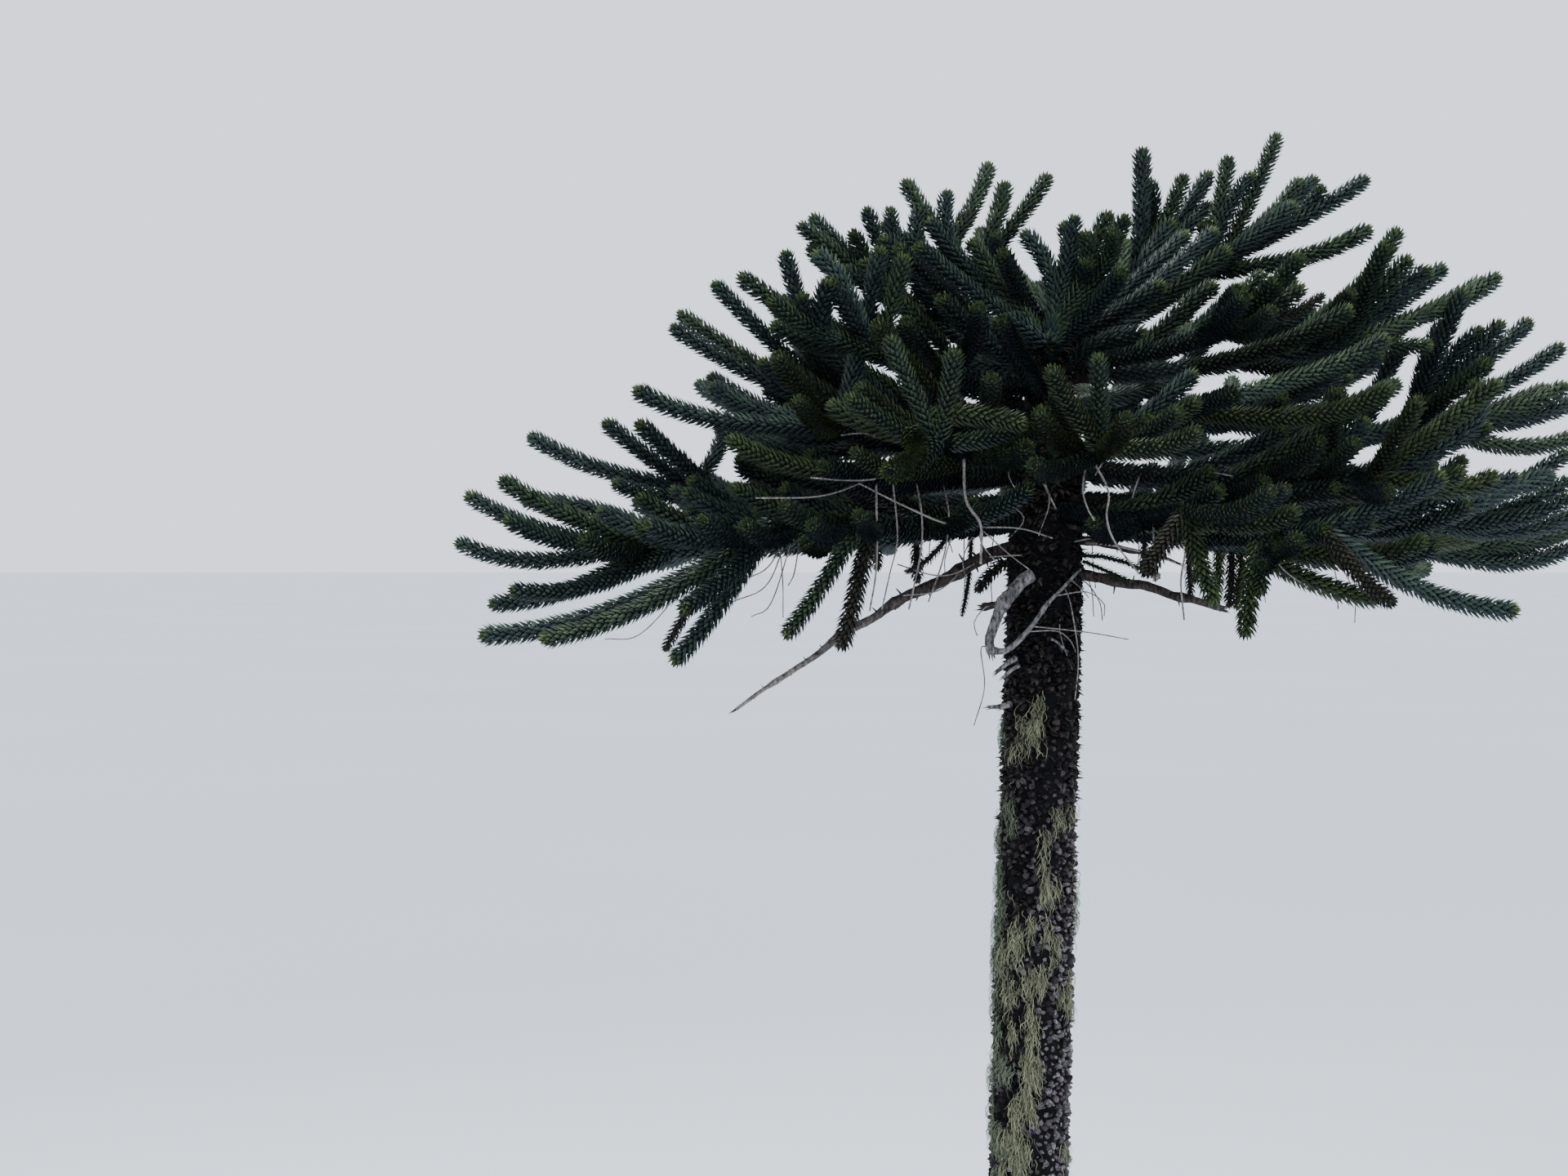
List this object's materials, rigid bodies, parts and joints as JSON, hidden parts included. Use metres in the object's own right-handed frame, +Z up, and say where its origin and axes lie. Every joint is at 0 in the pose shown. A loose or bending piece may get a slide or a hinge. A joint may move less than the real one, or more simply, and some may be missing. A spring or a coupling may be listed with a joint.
{
  "type": "monkey puzzle tree",
  "caption": "Umbrella-crowned monkey puzzle tree: leaning bare trunk, whorls of boughs, masses of rope-like leafy shoots, dead limbs.",
  "frame": {"origin": "middle of the flat cut under the trunk, at ground level", "axes": "+Z up along the trunk, +X to the right in the picture, +Y away from the picture's camera"},
  "size_m": [4.6455, 4.0324, 7.2374],
  "materials": {
    "bark": "rough dark bark",
    "bough_bark": "rough scaly bark",
    "dead_wood": "weathered grey",
    "foliage": "leathery dark green"
  },
  "bodies": {
    "root": {"bough_high_back_left": "bough_bark", "bough_high_back_right": "bough_bark", "bough_high_left": "bough_bark", "bough_high_left_back": "bough_bark", "bough_high_right": "bough_bark", "bough_high_right_back": "bough_bark", "bough_high_right_front": "bough_bark", "bough_low_back_left": "bough_bark", "bough_low_back_right": "bough_bark", "bough_low_front_left": "bough_bark", "bough_low_front_right": "bough_bark", "bough_low_left": "bough_bark", "bough_low_left_back": "bough_bark", "bough_low_left_front": "bough_bark", "bough_low_right": "bough_bark", "bough_low_right_back": "bough_bark", "bough_low_right_front": "bough_bark", "bough_mid_back": "bough_bark", "bough_mid_back_left": "bough_bark", "bough_mid_back_right": "bough_bark", "bough_mid_front": "bough_bark", "bough_mid_front_left": "bough_bark", "bough_mid_left_back": "bough_bark", "bough_mid_left_front": "bough_bark", "bough_mid_right": "bough_bark", "bough_mid_right_front": "bough_bark", "dead_limb_broken": "dead_wood", "dead_limb_broken_arm": "dead_wood", "dead_limb_long": "dead_wood", "dead_stub_left": "dead_wood", "dead_stub_right_high": "dead_wood", "dead_stub_right_low": "dead_wood", "foliage_high_back_left": "foliage", "foliage_high_back_right": "foliage", "foliage_high_front": "foliage", "foliage_high_left": "foliage", "foliage_high_left_back": "foliage", "foliage_high_right": "foliage", "foliage_high_right_back": "foliage", "foliage_high_right_front": "foliage", "foliage_low_back_left": "foliage", "foliage_low_back_right": "foliage", "foliage_low_front_left": "foliage", "foliage_low_front_right": "foliage", "foliage_low_left": "foliage", "foliage_low_left_back": "foliage", "foliage_low_left_front": "foliage", "foliage_low_right": "foliage", "foliage_low_right_back": "foliage", "foliage_low_right_front": "foliage", "foliage_mid_back": "foliage", "foliage_mid_back_left": "foliage", "foliage_mid_back_right": "foliage", "foliage_mid_front": "foliage", "foliage_mid_front_left": "foliage", "foliage_mid_left_back": "foliage", "foliage_mid_left_front": "foliage", "foliage_mid_right": "foliage", "foliage_mid_right_front": "foliage", "trunk": "bark"}
  },
  "joints": []
}
